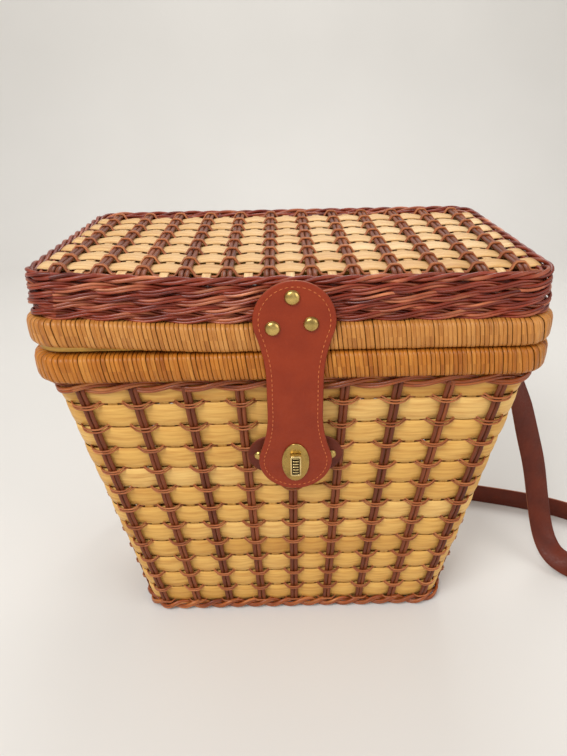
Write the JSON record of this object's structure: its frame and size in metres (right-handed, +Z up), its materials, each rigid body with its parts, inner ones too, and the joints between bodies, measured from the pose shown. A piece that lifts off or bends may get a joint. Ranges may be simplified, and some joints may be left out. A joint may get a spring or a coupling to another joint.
{
  "type": "picnic basket",
  "caption": "Tapered wicker picnic basket with a hinged lattice lid, wrapped rims, a leather tab with a turn lock, and a leather shoulder strap.",
  "frame": {"origin": "on the floor, under the middle of the basket", "axes": "+X to the basket's right as seen from the front, +Y to the back where the hinges are, +Z up"},
  "size_m": [0.6134, 0.2789, 0.3823],
  "materials": {
    "splint": "satin, flat split cane, golden",
    "brown_rod": "satin, peeled brown willow rods",
    "dark_willow": "satin, dark twined willow",
    "cane_wrap": "satin, close wrapped split cane",
    "hoop_wood": "bare wood",
    "leather": "smooth tan leather",
    "brass": "polished, lightly tarnished"
  },
  "bodies": {
    "basket": {"front_wall": "splint", "back_wall": "splint", "left_wall": "splint", "right_wall": "splint", "corner_walls": "splint", "front_stakes": "brown_rod", "back_stakes": "brown_rod", "left_stakes": "brown_rod", "right_stakes": "brown_rod", "inner_ribs": "splint", "bottom_splints": "splint", "bottom_stakes": "brown_rod", "foot_border": "brown_rod", "top_border": "brown_rod", "base_rim_wrap": "cane_wrap", "base_rim_hoops": "hoop_wood", "locating_lip": "hoop_wood", "lock_patch": "leather", "patch_rivets": "brass", "lock_base": "brass", "hinge_lower_leaves": "leather", "hinge_lower_rivets": "brass", "shoulder_strap": "leather", "strap_rivets": "brass"},
    "lid": {"lid_side_weave": "dark_willow", "lid_splints": "splint", "lid_weavers": "brown_rod", "lid_columns": "brown_rod", "lid_ribs": "splint", "lid_edge_border": "dark_willow", "lid_rim_wrap": "cane_wrap", "lid_rim_hoops": "hoop_wood", "tab_root": "leather", "tab_rivets": "brass", "hinge_upper_leaves": "leather", "hinge_upper_rivets": "brass"},
    "tab": {"tab_flap": "leather", "tab_plate": "brass"},
    "knob": {"turn_knob": "brass"}
  },
  "joints": [
    {"name": "lid_hinge", "type": "hinge", "parent": "basket", "child": "lid", "pos_m": [0, 0.1346, 0.32415], "axis": [-1, 0, 0], "range_deg": [0, 110]},
    {"name": "tab_flex", "type": "hinge", "parent": "lid", "child": "tab", "pos_m": [0.002, -0.1354, 0.3293], "axis": [-1, 0, 0], "range_deg": [0, 115]},
    {"name": "turn_lock", "type": "hinge", "parent": "tab", "child": "knob", "pos_m": [0.002, -0.12186, 0.218], "axis": [0, -0.9906, -0.1368], "range_deg": [0, 90]}
  ]
}
